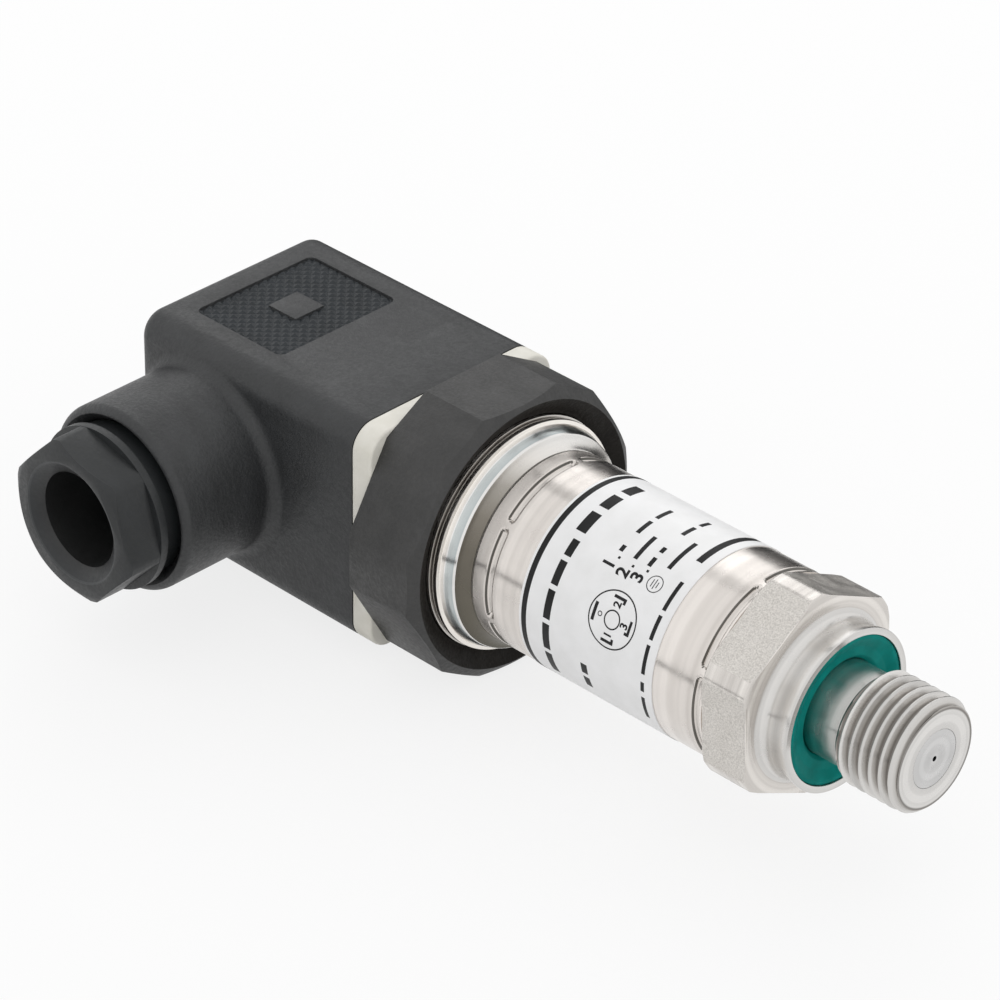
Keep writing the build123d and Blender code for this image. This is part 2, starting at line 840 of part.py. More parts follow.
def gland_nut():
    """Hexagon nut with a round flange, a plain shank in place of the thread and a funnel mouth."""
    corner_r = gland_nut_corner_d / 2
    face_plane = Plane(origin=(gland_x, nut_hex_y, 0), x_dir=(1, 0, 0), z_dir=(0, -1, 0))
    turn = Rot(0, 0, gland_nut_turn_deg - 30)
    hexagon = extrude(
        face_plane * turn * RegularPolygon(gland_nut_af / 2, 6, major_radius=False),
        gland_nut_hex_length,
    )
    corners = turned_gland(
        (nut_hex_y, 0),
        (nut_hex_y, corner_r),
        (nut_face_y + gland_nut_face_chamfer, corner_r),
        (nut_face_y, gland_nut_af / 2),
        (nut_face_y, 0),
    )
    nut = hexagon & corners
    nut += gland_rod(nut_flange_y, nut_hex_y, gland_nut_flange_d)
    nut += gland_rod(thrust_ring_y, nut_flange_y, gland_bore_d - 2 * fit_clearance)
    nut -= gland_rod(thrust_ring_y, nut_face_y, gland_nut_bore_d)
    mouth_y = nut_face_y + gland_nut_mouth_depth
    return nut - turned_gland(
        (nut_face_y, 0),
        (nut_face_y, gland_nut_mouth_d / 2),
        (mouth_y, gland_nut_bore_d / 2),
        (mouth_y, 0),
    )


nodes = {
    "process_connector": process_connector(),
    "orifice_insert": orifice_insert(),
    "profile_seal": profile_seal(),
    "cell_o_ring": cell_o_ring(),
    "sensor_cell": sensor_cell(),
    "cell_retaining_ring": cell_retaining_ring(),
    "body_tube": body_tube(),
    "label": label(),
    "circuit_board": circuit_board(),
    "board_components": board_components(),
    "sensor_leads": sensor_leads(),
    "pin_leads": pin_leads(),
    "flange_ring": flange_ring(),
    "base_o_ring": base_o_ring(),
    "connector_base": connector_base(),
    "screw_insert": screw_insert(),
    "profile_gasket": profile_gasket(),
    "plug_housing": plug_housing(),
    "contact_insert": contact_insert(),
    "terminal_screws": terminal_screws(),
    "centre_screw": centre_screw(),
    "screw_washer": screw_washer(),
    "gland_seal": gland_seal(),
    "thrust_ring": thrust_ring(),
    "gland_nut": gland_nut(),
}
for name, turn in pin_turns.items():
    nodes[f"contact_blade_{name}"] = contact_blade(turn, earth_reach if name == "earth" else 0.0)
    nodes[f"socket_contact_{name}"] = female_contact(turn)

os.makedirs("parts", exist_ok=True)
for name, shape in nodes.items():
    export_step(shape, f"parts/{name}.step")
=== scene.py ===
import json
import math

import bmesh
import bpy
from mathutils import Matrix, Vector


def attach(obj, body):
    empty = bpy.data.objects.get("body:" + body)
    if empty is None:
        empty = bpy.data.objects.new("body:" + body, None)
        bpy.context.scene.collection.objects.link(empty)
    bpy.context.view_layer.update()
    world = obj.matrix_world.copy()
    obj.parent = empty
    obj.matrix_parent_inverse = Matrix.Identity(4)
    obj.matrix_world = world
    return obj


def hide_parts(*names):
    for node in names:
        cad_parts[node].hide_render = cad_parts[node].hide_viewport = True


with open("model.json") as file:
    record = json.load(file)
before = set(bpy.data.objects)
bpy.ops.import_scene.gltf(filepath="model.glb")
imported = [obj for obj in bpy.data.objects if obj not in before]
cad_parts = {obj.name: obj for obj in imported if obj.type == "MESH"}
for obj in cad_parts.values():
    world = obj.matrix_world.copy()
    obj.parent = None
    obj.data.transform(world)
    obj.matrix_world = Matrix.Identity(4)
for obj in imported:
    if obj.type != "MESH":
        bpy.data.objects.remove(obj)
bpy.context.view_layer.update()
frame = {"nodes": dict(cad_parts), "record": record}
nodes = frame["nodes"]
bodies = frame["record"]["behaviour"]["bodies"]
mm = 0.001
plugX = -83.6  # station of the gland's axis and the grip patch; sizes are in millimetres
# points nearer than these, in metres, are merged; faces flatter than the angle are dissolved
cleaning = {"copyMerge": 2e-6, "lineMerge": 1e-7, "spinMerge": 1e-6, "flatAngle": 0.5}
print("frame loaded:", len(nodes), "nodes")


def deselectAll():
    if bpy.context.mode != "OBJECT":
        bpy.ops.object.mode_set(mode="OBJECT")
    bpy.ops.object.select_all(action="DESELECT")


def makeActive(piece):
    deselectAll()
    piece.select_set(True)
    bpy.context.view_layer.objects.active = piece


def editAll(piece):
    makeActive(piece)
    bpy.ops.object.mode_set(mode="EDIT")
    bpy.ops.mesh.select_mode(type="VERT")
    bpy.ops.mesh.select_all(action="SELECT")


def applyTransform():
    bpy.ops.object.transform_apply(location=True, rotation=True, scale=True)


def applyModifier(piece, kind, **settings):
    makeActive(piece)
    modifier = piece.modifiers.new(kind.title(), kind)
    for key, value in settings.items():
        setattr(modifier, key, value)
    bpy.ops.object.modifier_apply(modifier=modifier.name)


def smoothByAngle(piece, angle=35):
    makeActive(piece)
    bpy.ops.object.shade_smooth_by_angle(angle=math.radians(angle))


def roundEdges(piece, width, segments=2, angle=30):
    applyModifier(piece, "BEVEL", width=width * mm, segments=segments, limit_method="ANGLE",
                  angle_limit=math.radians(angle), use_clamp_overlap=True)


def joinPieces(pieces):
    # all of them into the first one
    deselectAll()
    for piece in pieces:
        piece.select_set(True)
    bpy.context.view_layer.objects.active = pieces[0]
    bpy.ops.object.join()
    return pieces[0]


def bodyOf(node):
    return next(body for body, members in bodies.items() if node in members)


def standsFor(piece, node):
    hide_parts(node)
    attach(piece, bodyOf(node))


def copyOfNode(node, name, edge=0.12, segments=2, angle=30):
    # merged copy of a CAD piece with its hard edges rounded
    piece = bpy.data.objects.new(name, nodes[node].data.copy())
    bpy.context.scene.collection.objects.link(piece)
    editAll(piece)
    bpy.ops.mesh.customdata_custom_splitnormals_clear()
    bpy.ops.mesh.remove_doubles(threshold=cleaning["copyMerge"])
    bpy.ops.mesh.dissolve_limited(angle_limit=math.radians(cleaning["flatAngle"]))
    bpy.ops.object.mode_set(mode="OBJECT")
    if edge:
        roundEdges(piece, edge, segments, angle)
    smoothByAngle(piece)
    standsFor(piece, node)
    return piece


def drawLine(name, points):
    # a vertex pulled on from point to point
    deselectAll()
    bpy.ops.mesh.primitive_plane_add(size=mm, location=Vector(points[0]) * mm)
    piece = bpy.context.object
    piece.name = name
    applyTransform()
    editAll(piece)
    bpy.ops.mesh.merge(type="CENTER")
    for start, end in zip(points, points[1:]):
        step = (Vector(end) - Vector(start)) * mm
        bpy.ops.mesh.extrude_region_move(TRANSFORM_OT_translate={"value": step})
    bpy.ops.mesh.select_all(action="SELECT")
    bpy.ops.mesh.remove_doubles(threshold=cleaning["lineMerge"])
    bpy.ops.object.mode_set(mode="OBJECT")
    return piece


def spinRound(piece, steps):
    # one full turn about the sensor's axis
    editAll(piece)
    bpy.ops.mesh.spin(steps=steps, angle=2 * math.pi, center=(0, 0, 0), axis=(1, 0, 0))
    bpy.ops.mesh.select_all(action="SELECT")
    bpy.ops.mesh.remove_doubles(threshold=cleaning["spinMerge"])
    bpy.ops.mesh.normals_make_consistent(inside=False)
    bpy.ops.object.mode_set(mode="OBJECT")


def radiusOf(point):
    return math.hypot(point.y, point.z)


def within(value, span):
    return span[0] < value < span[1]


def setRadius(vertex, radius, newRadius):
    vertex.co.y *= newRadius / radius
    vertex.co.z *= newRadius / radius


def selectEdges(piece, test):
    # selects the open edges whose middle passes the test; the piece is in edit mode
    mesh = bmesh.from_edit_mesh(piece.data)
    for edge in mesh.edges:
        edge.select = False
    for vertex in mesh.verts:
        vertex.select = False
    for edge in mesh.edges:
        middle = (edge.verts[0].co + edge.verts[1].co) / (2 * mm)
        if edge.is_boundary and test(middle):
            edge.select_set(True)
    bmesh.update_edit_mesh(piece.data)


def newMaterial(name, colour, roughness, metallic=0.0, specular=0.5):
    material = bpy.data.materials.new(name)
    material.use_nodes = True
    tree = material.node_tree
    tree.nodes.clear()
    output = tree.nodes.new("ShaderNodeOutputMaterial")
    shader = tree.nodes.new("ShaderNodeBsdfPrincipled")
    shader.inputs["Base Color"].default_value = (*colour, 1)
    shader.inputs["Roughness"].default_value = roughness
    shader.inputs["Metallic"].default_value = metallic
    shader.inputs["Specular IOR Level"].default_value = specular
    tree.links.new(shader.outputs["BSDF"], output.inputs["Surface"])
    return material, tree, shader


def placed(tree, centre=(0, 0, 0), turn=(0, 0, 0), stretch=(1, 1, 1)):
    # object coordinates in millimetres about a centre
    coords = tree.nodes.new("ShaderNodeTexCoord")
    mapping = tree.nodes.new("ShaderNodeMapping")
    mapping.vector_type = "TEXTURE"
    mapping.inputs["Location"].default_value = [c * mm for c in centre]
    mapping.inputs["Rotation"].default_value = [math.radians(a) for a in turn]
    mapping.inputs["Scale"].default_value = [mm / s for s in stretch]
    tree.links.new(coords.outputs["Object"], mapping.inputs["Vector"])
    return mapping.outputs["Vector"]


def turnedCoords(tree, centre=(0, 0, 0), turn=(0, 0, 0)):
    # station along the axis and radius about it, for marks left by a lathe
    place = placed(tree, centre, turn)
    parts = tree.nodes.new("ShaderNodeSeparateXYZ")
    tree.links.new(place, parts.inputs[0])
    flat = tree.nodes.new("ShaderNodeCombineXYZ")
    tree.links.new(parts.outputs["Y"], flat.inputs["X"])
    tree.links.new(parts.outputs["Z"], flat.inputs["Y"])
    length = tree.nodes.new("ShaderNodeVectorMath")
    length.operation = "LENGTH"
    tree.links.new(flat.outputs[0], length.inputs[0])
    rings = tree.nodes.new("ShaderNodeCombineXYZ")
    tree.links.new(parts.outputs["X"], rings.inputs["X"])
    tree.links.new(length.outputs["Value"], rings.inputs["Y"])
    return rings.outputs[0]


def noise(tree, coords, scale, detail=2.0, rough=0.5):
    node = tree.nodes.new("ShaderNodeTexNoise")
    node.inputs["Scale"].default_value = scale
    node.inputs["Detail"].default_value = detail
    node.inputs["Roughness"].default_value = rough
    tree.links.new(coords, node.inputs["Vector"])
    return node.outputs["Fac"]


def ramp(tree, value, low, high, start=0.3, end=0.7):
    node = tree.nodes.new("ShaderNodeMapRange")
    node.inputs["From Min"].default_value = start
    node.inputs["From Max"].default_value = end
    node.inputs["To Min"].default_value = low
    node.inputs["To Max"].default_value = high
    tree.links.new(value, node.inputs["Value"])
    return node.outputs["Result"]


def tint(tree, value, dark, light, start=0.3, end=0.7):
    node = tree.nodes.new("ShaderNodeValToRGB")
    node.color_ramp.elements[0].position = start
    node.color_ramp.elements[0].color = (*dark, 1)
    node.color_ramp.elements[1].position = end
    node.color_ramp.elements[1].color = (*light, 1)
    tree.links.new(value, node.inputs["Fac"])
    return node.outputs["Color"]


def bump(tree, shader, heights):
    # heights: list of (value, height in millimetres)
    normal = None
    for value, height in heights:
        node = tree.nodes.new("ShaderNodeBump")
        node.inputs["Strength"].default_value = 1.0
        node.inputs["Distance"].default_value = height * mm
        tree.links.new(value, node.inputs["Height"])
        if normal is not None:
            tree.links.new(normal, node.inputs["Normal"])
        normal = node.outputs["Normal"]
    tree.links.new(normal, shader.inputs["Normal"])


def paintedLightBands(tree, coords, colour, along, tones):
    # painted light: shade, highlights and reflections by station (X), radius (Y) or height (Z),
    # multiplied into the colour
    parts = tree.nodes.new("ShaderNodeSeparateXYZ")
    tree.links.new(coords, parts.inputs[0])
    low, high = tones[0][0], tones[-1][0]
    away = ramp(tree, parts.outputs[along], 0.0, 1.0, low, high)
    paintedBands = tree.nodes.new("ShaderNodeValToRGB")
    stops = paintedBands.color_ramp.elements
    stops[0].color = (*tones[0][1], 1)
    stops[1].color = (*tones[-1][1], 1)
    for place, tone in tones[1:-1]:
        stop = stops.new((place - low) / (high - low))
        stop.color = (*tone, 1)
    tree.links.new(away, paintedBands.inputs["Fac"])
    mix = tree.nodes.new("ShaderNodeMix")
    mix.data_type = "RGBA"
    mix.blend_type = "MULTIPLY"
    mix.inputs["Factor"].default_value = 1.0
    tree.links.new(colour, mix.inputs[6])  # A and B of the colour sockets
    tree.links.new(paintedBands.outputs["Color"], mix.inputs[7])
    return mix.outputs[2]


# scales per millimetre, shares of the look's own values, and the slant of the painted shade by
# height
steelGrain = {"wideShare": 0.18, "stainScale": 0.35, "wideDepth": 1.5, "brushTurn": 0.25,
              "shadeSlant": -20, "cloudScale": 0.5}
plasticGrain = {"scale": 2.4, "cloudScale": 0.22, "cloudStretch": (1, 1.6, 0.8), "cloudDepth": 2}
rubberGrain = {"cloudScale": 0.4}


def turnedSteel(name, dark, light, rough, feed=5.0, depth=0.004, stretch=0.7, paintedBands=None):
    # steel with fine rings from the lathe, wider tone rings and a little stain, and painted light
    # bands where they are given
    material, tree, shader = newMaterial(name, light, rough[0], metallic=1.0)
    rings = turnedCoords(tree)
    fine = noise(tree, rings, feed, detail=3.0, rough=0.6)
    wide = noise(tree, rings, feed * steelGrain["wideShare"])
    stain = noise(tree, placed(tree), steelGrain["stainScale"], detail=3.0)
    colour = tint(tree, wide, dark, light, start=0.32, end=0.66)
    if paintedBands:
        slanted = paintedBands[0] == "Z"
        coords = placed(tree, turn=(steelGrain["shadeSlant"], 0, 0)) if slanted else rings
        colour = paintedLightBands(tree, coords, colour, *paintedBands)
    tree.links.new(colour, shader.inputs["Base Color"])
    stained = ramp(tree, stain, *rough, start=0.35, end=0.65)
    tree.links.new(stained, shader.inputs["Roughness"])
    bump(tree, shader, [(fine, depth), (wide, depth * steelGrain["wideDepth"])])
    tangent = tree.nodes.new("ShaderNodeTangent")
    tangent.direction_type = "RADIAL"
    tangent.axis = "X"
    tree.links.new(tangent.outputs["Tangent"], shader.inputs["Tangent"])
    shader.inputs["Anisotropic"].default_value = stretch
    shader.inputs["Anisotropic Rotation"].default_value = steelGrain["brushTurn"]
    return material


def blastedSteel(name, dark, light, rough=(0.34, 0.48), grain=6.0, depth=0.012):
    material, tree, shader = newMaterial(name, light, rough[0], metallic=1.0)
    place = placed(tree)
    fine = noise(tree, place, grain, detail=4.0, rough=0.65)
    cloud = noise(tree, place, steelGrain["cloudScale"], detail=3.0)
    colour = tint(tree, fine, dark, light, start=0.35, end=0.62)
    tree.links.new(colour, shader.inputs["Base Color"])
    tree.links.new(ramp(tree, cloud, *rough), shader.inputs["Roughness"])
    bump(tree, shader, [(fine, depth)])
    return material


def grainedPlastic(name, dark, light, rough=(0.42, 0.56), depth=0.065, specular=0.6, paintedBands=None):
    # moulded plastic with a spark-eroded grain and faint flow marks, and painted light bands where
    # they are given
    material, tree, shader = newMaterial(name, light, rough[0], specular=specular)
    fine = noise(tree, placed(tree), plasticGrain["scale"], detail=3.0, rough=0.6)
    cloud = noise(tree, placed(tree, stretch=plasticGrain["cloudStretch"]),
                  plasticGrain["cloudScale"], detail=4.0, rough=0.55)
    colour = tint(tree, cloud, dark, light)
    if paintedBands:  # about the gland's axis
        coords = turnedCoords(tree, centre=(plugX, 0, 0), turn=(0, 0, 90))
        colour = paintedLightBands(tree, coords, colour, *paintedBands)
    tree.links.new(colour, shader.inputs["Base Color"])
    grained = ramp(tree, fine, *rough, start=0.35, end=0.65)
    tree.links.new(grained, shader.inputs["Roughness"])
    bump(tree, shader, [(fine, depth), (cloud, depth * plasticGrain["cloudDepth"])])
    return material


def softRubber(name, dark, light, rough=(0.35, 0.5), grain=2.0, depth=0.006, specular=0.4):
    # rubber, film, ceramic and other pieces with a plain, slightly clouded tone
    material, tree, shader = newMaterial(name, light, rough[0], specular=specular)
    place = placed(tree)
    cloud = noise(tree, place, rubberGrain["cloudScale"], detail=3.0)
    fine = noise(tree, place, grain, detail=3.0)
    tree.links.new(tint(tree, cloud, dark, light), shader.inputs["Base Color"])
    tree.links.new(ramp(tree, fine, *rough), shader.inputs["Roughness"])
    bump(tree, shader, [(fine, depth)])
    return material


# painted shade: the stud's thread is darker in its grooves, by radius
groovePaintedShade = ("Y", ((5.52, (1, 1, 1)), (5.7, (0.3, 0.29, 0.28)), (5.84, (0.5, 0.48, 0.46)),
                     (6.05, (0.93, 0.92, 0.91)), (6.5, (1, 1, 1))))
# painted reflections and shade on the flange ring from its rim to its cone, by station
flangePaintedReflections = ("X", ((-50.6, (0.9, 0.86, 0.82)), (-48.7, (0.85, 0.81, 0.77)),
                     (-48.4, (1, 0.98, 0.96)), (-48.08, (1, 0.98, 0.96)),
                     (-48.02, (0.3, 0.28, 0.26)), (-47.85, (0.3, 0.28, 0.26)),
                     (-47.75, (1, 0.98, 0.96)), (-47.0, (1, 0.97, 0.93)),
                     (-46.62, (0.93, 0.9, 0.86)), (-46.56, (1, 1, 1)), (-46.47, (1, 1, 1)),
                     (-46.41, (0.74, 0.79, 0.8)), (-45.52, (0.62, 0.68, 0.7)),
                     (-45.46, (1, 1, 1)), (-45.2, (1, 1, 1))))
# painted shade on its hollow root: dark below, clearing towards the top, by height on a slant
rootPaintedShade = ("Z", ((-12, (0.16, 0.15, 0.125)), (0, (0.19, 0.175, 0.15)),
                   (4, (0.27, 0.25, 0.22)), (7.5, (0.45, 0.43, 0.4)),
                   (10.4, (0.9, 0.88, 0.86)), (12.5, (1, 1, 1))))
# painted highlight: a fine light ring round the gland nut's mouth, by radius about its own axis
mouthPaintedHighlight = ("Y", ((5.6, (0.42, 0.4, 0.38)), (6.9, (0.5, 0.51, 0.53)),
                    (7.05, (0.5, 0.51, 0.53)), (7.12, (1, 1, 1)), (7.32, (1, 1, 1)),
                    (7.4, (0.4, 0.41, 0.41)), (9.5, (0.42, 0.44, 0.45))))

# one look per material: its dark and light tone, then what differs from its kind
looks = {
    "stud": turnedSteel("steelStud", (0.50, 0.49, 0.475), (0.74, 0.725, 0.705),
                        rough=(0.2, 0.28), feed=4.0, stretch=0.88, paintedBands=groovePaintedShade),
    "hexFlat": blastedSteel("steelHexFlat", (0.50, 0.475, 0.445), (0.76, 0.73, 0.69)),
    "hexTurned": turnedSteel("steelHexTurned", (0.58, 0.55, 0.52), (0.80, 0.765, 0.725),
                             rough=(0.2, 0.28), feed=6.0, stretch=0.88),
    "insert": turnedSteel("steelInsert", (0.52, 0.515, 0.51), (0.66, 0.655, 0.65),
                          rough=(0.24, 0.34), feed=4.0),
    "tube": turnedSteel("steelTube", (0.64, 0.60, 0.565), (0.82, 0.775, 0.735),
                        rough=(0.2, 0.28), feed=3.0, depth=0.002, stretch=0.88),
    "flange": turnedSteel("steelFlange", (0.76, 0.75, 0.735), (0.90, 0.885, 0.865),
                          rough=(0.16, 0.26), feed=3.0, stretch=0.85, paintedBands=flangePaintedReflections),
    # painted shade for the flange ring's hollow root
    "flangeRootShade": turnedSteel("steelFlangeRootShade", (0.72, 0.71, 0.69), (0.86, 0.845, 0.82),
                              rough=(0.2, 0.3), feed=3.0, stretch=0.85, paintedBands=rootPaintedShade),
    # painted shade for the beads' rear flanks and the tube's rear chamfer
    "beadShade": turnedSteel("steelBeadShade", (0.10, 0.095, 0.085), (0.22, 0.21, 0.195),
                            rough=(0.25, 0.35), feed=3.0),
    "inner": turnedSteel("steelInner", (0.40, 0.40, 0.40), (0.60, 0.60, 0.60),
                         rough=(0.3, 0.4), feed=4.0),
    "zinc": turnedSteel("zincScrew", (0.55, 0.56, 0.58), (0.72, 0.73, 0.75), rough=(0.2, 0.35)),
    "brass": turnedSteel("brassBush", (0.60, 0.44, 0.17), (0.75, 0.57, 0.26), rough=(0.25, 0.4)),
    "tinned": blastedSteel("tinnedContact", (0.60, 0.59, 0.55), (0.76, 0.75, 0.72),
                           rough=(0.25, 0.4), grain=2.0, depth=0.003),
    "housing": grainedPlastic("plasticHousing", (0.018, 0.019, 0.020), (0.028, 0.0295, 0.031)),
    "patch": grainedPlastic("plasticPatch", (0.014, 0.0175, 0.0205), (0.021, 0.0255, 0.030),
                            rough=(0.4, 0.5), depth=0.006, specular=0.35),
    "base": grainedPlastic("plasticBase", (0.023, 0.023, 0.0225), (0.038, 0.0375, 0.037),
                           rough=(0.46, 0.6)),
    "nut": grainedPlastic("plasticNut", (0.030, 0.0325, 0.034), (0.044, 0.047, 0.049),
                          rough=(0.38, 0.5), depth=0.02, specular=0.5, paintedBands=mouthPaintedHighlight),
    # painted shade for the nut's crescents and the base's bore
    "shadeBlack": grainedPlastic("plasticShadeBlack", (0.008, 0.0065, 0.005), (0.014, 0.012, 0.010),
                             specular=0.12),
    "insertBlock": grainedPlastic("plasticInsert", (0.06, 0.06, 0.065), (0.11, 0.11, 0.12)),
    "ring": grainedPlastic("plasticRing", (0.35, 0.35, 0.35), (0.5, 0.5, 0.5)),
    "seal": softRubber("rubberSeal", (0.0, 0.17, 0.148), (0.001, 0.25, 0.22),
                       rough=(0.36, 0.48), specular=0.04),
    "rubber": softRubber("rubberBlack", (0.012, 0.012, 0.012), (0.03, 0.03, 0.03), specular=0.25),
    "gasket": softRubber("rubberGasket", (0.66, 0.64, 0.57), (0.76, 0.74, 0.68),
                         rough=(0.45, 0.6)),
    "label": softRubber("filmLabel", (0.80, 0.80, 0.80), (0.85, 0.85, 0.855),
                        rough=(0.36, 0.46), grain=1.2, depth=0.001),
    "ink": softRubber("filmInk", (0.010, 0.010, 0.010), (0.018, 0.018, 0.019),
                      rough=(0.4, 0.5), specular=0.2),
    "ceramic": softRubber("ceramicCell", (0.74, 0.72, 0.66), (0.84, 0.82, 0.77),
                          rough=(0.3, 0.4)),
    "component": softRubber("packageBlack", (0.02, 0.02, 0.022), (0.05, 0.05, 0.055)),
    "wire": softRubber("wireRed", (0.40, 0.03, 0.02), (0.55, 0.06, 0.04)),
    "board": softRubber("boardGreen", (0.01, 0.10, 0.04), (0.03, 0.22, 0.09),
                        rough=(0.3, 0.4), grain=1.0),
}


def dress(piece, look):
    piece.data.materials.clear()
    piece.data.materials.append(looks[look])


def dressFaces(piece, look, test):
    # a further look for the faces whose middle and normal pass the test
    piece.data.materials.append(looks[look])
    for face in piece.data.polygons:
        if test(face.center / mm, face.normal):
            face.material_index = len(piece.data.materials) - 1


def outwards(middle, normal):
    # 1 where a face looks away from the sensor's axis, -1 where it looks at it
    return normal.dot(Vector((0, middle.y, middle.z)).normalized())


print("materials made:", len(looks))

# stud, hexagon and shoulder in one piece; the solid is cut off behind the thread
thread = {"pitch": 1.337, "crestR": 6.5785, "depth": 0.8561, "rounding": 0.1836, "flank": 27.5,
          "joinX": 2.7, "cutX": 2.6, "neckR": 5.5, "portR": 2.0, "pocketR": 3.4,
          "pocketX": 10.0, "tipX": 12.0, "chamfer": 0.7, "startX": 4.3, "steps": 144,
          "pitchSteps": 16, "seamX": (2.5, 2.8), "seamRadii": ((4.5, 6.5), (1.0, 3.0)),
          "edge": 0.15, "smoothing": 40, "slack": 0.01, "tipSlack": 0.001}
hexagon = {"stations": (-10.25, -3.95), "flatRadii": (11, 12.3), "flatLean": 0.2}


def threadRadius(offset):
    # rounded vee thread form: height at a distance from a crest
    away = abs((offset / thread["pitch"] + 0.5) % 1.0 - 0.5) * thread["pitch"]
    lean = math.radians(90 - thread["flank"])
    r = thread["rounding"]
    arc = r * math.sin(lean)
    cap = r * (1 - math.cos(lean))
    half = thread["pitch"] / 2
    if away < arc:
        drop = r - math.sqrt(r * r - away * away)
    elif away < half - arc:
        drop = cap + (away - arc) * math.tan(lean)
    else:
        rest = half - away
        drop = thread["depth"] - r + math.sqrt(r * r - rest * rest)
    return thread["crestR"] - drop


def studEnvelope(x):
    front = thread["crestR"] - max(0.0, x - (thread["tipX"] - thread["chamfer"]))
    rear = thread["crestR"] - max(0.0, thread["startX"] - x)
    return max(thread["neckR"], min(front, rear))


def makeStudThread():
    line = [(thread["joinX"], thread["portR"]), (thread["pocketX"], thread["portR"]),
            (thread["pocketX"], thread["pocketR"]), (thread["tipX"], thread["pocketR"]),
            (thread["tipX"], thread["crestR"] - thread["chamfer"])]
    rearX = thread["startX"] - (thread["crestR"] - thread["neckR"])
    count = round((thread["tipX"] - rearX) / thread["pitch"] * thread["pitchSteps"])
    for i in range(1, count + 1):
        x = thread["tipX"] + (rearX - thread["tipX"]) * i / count
        line.append((x, studEnvelope(x)))
    line.append((thread["joinX"], thread["neckR"]))
    piece = drawLine("processConnector", [(x, r, 0) for x, r in line])
    spinRound(piece, thread["steps"])
    for vertex in piece.data.vertices:
        x, y, z = (c / mm for c in vertex.co)
        radius = math.hypot(y, z)
        inner = radius < thread["neckR"] - thread["slack"]
        if inner or x > thread["tipX"] - thread["tipSlack"] or x < rearX:
            continue
        turnShare = math.atan2(z, y) / (2 * math.pi)
        crest = threadRadius(x - thread["pitch"] * turnShare)
        setRadius(vertex, radius, min(studEnvelope(x), crest))
    return piece


def isHexFlat(middle, normal):
    return (within(middle.x, hexagon["stations"]) and abs(normal.x) < hexagon["flatLean"]
            and within(radiusOf(middle), hexagon["flatRadii"]))


def isHexTurned(middle, normal):
    return within(middle.x, hexagon["stations"]) and not isHexFlat(middle, normal)


studThread = makeStudThread()
connector = copyOfNode("process_connector", "connectorBody", edge=0)
editAll(connector)
bpy.ops.mesh.bisect(plane_co=(thread["cutX"] * mm, 0, 0), plane_no=(1, 0, 0), clear_outer=True)
bpy.ops.object.mode_set(mode="OBJECT")
roundEdges(connector, thread["edge"])
joinPieces([connector, studThread])
connector.name = "processConnector"
bpy.ops.object.mode_set(mode="EDIT")
bpy.ops.mesh.select_mode(type="EDGE")
for radii in thread["seamRadii"]:
    selectEdges(connector, lambda p: within(radiusOf(p), radii) and within(p.x, thread["seamX"]))
    bpy.ops.mesh.bridge_edge_loops()
bpy.ops.object.mode_set(mode="OBJECT")
smoothByAngle(connector, thread["smoothing"])
dress(connector, "stud")
dressFaces(connector, "hexFlat", isHexFlat)
dressFaces(connector, "hexTurned", isHexTurned)
print("processConnector:", len(connector.data.polygons), "faces")

# painted shade: the pressure hole's wall is painted black
orifice = {"radius": 0.32, "inwards": -0.5, "edge": 0.04}


def isShadedHoleWall(middle, normal):
    return radiusOf(middle) < orifice["radius"] and outwards(middle, normal) < orifice["inwards"]


insert = copyOfNode("orifice_insert", "orificeInsert", edge=orifice["edge"])
dress(insert, "insert")
dressFaces(insert, "ink", isShadedHoleWall)
seal = copyOfNode("profile_seal", "profileSeal", edge=0.12, segments=3, angle=12)
dress(seal, "seal")

# body tube with rolled-in beads; guards are rows beside each bead that keep the shading straight
tube = {"outerR": 11.4, "innerR": 10.5, "frontX": -10.2, "rearX": -44.1, "steps": 360,
        "beadX": (-11.05, -41.5), "beadTurn": (127.5, 108.0), "beadSpan": 50.0, "beadCount": 6,
        "beadDepth": 0.42, "beadHalf": 0.6, "steepness": 1.7, "rows": 16, "guards": (0.12, 0.5),
        "guardInset": 1, "rearChamfer": 0.28, "shadeFrom": 0.12, "shadeDepths": (0.06, 0.3),
        "smoothing": 40, "slack": 0.01}


def beadDepth(x, turn):
    deepest = 0.0
    for beadX, first in zip(tube["beadX"], tube["beadTurn"]):
        if abs(x - beadX) > tube["beadHalf"]:
            continue
        step = 360.0 / tube["beadCount"]
        fromCentre = abs((turn - first + step / 2) % step - step / 2)
        beyond = max(0.0, fromCentre - tube["beadSpan"] / 2)
        away = math.hypot(x - beadX, math.radians(beyond) * tube["outerR"])
        share = min(1.0, max(0.0, 1 - away / tube["beadHalf"]) * tube["steepness"])
        deepest = max(deepest, tube["beadDepth"] * share * share * (3 - 2 * share))
    return deepest


def tubeStations():
    # where the tube's outside has a row of points, from front to rear
    stations = {tube["frontX"], tube["rearX"] + tube["rearChamfer"]}
    for beadX in tube["beadX"]:
        for guard in tube["guards"]:
            for side in (-1, 1):
                x = beadX + side * (tube["beadHalf"] + guard)
                if tube["rearX"] + tube["guardInset"] < x < tube["frontX"]:
                    stations.add(round(x, 4))
        for i in range(tube["rows"] + 1):
            x = beadX - tube["beadHalf"] + 2 * tube["beadHalf"] * i / tube["rows"]
            if tube["rearX"] < x < tube["frontX"]:
                stations.add(round(x, 4))
    return sorted(stations, reverse=True)


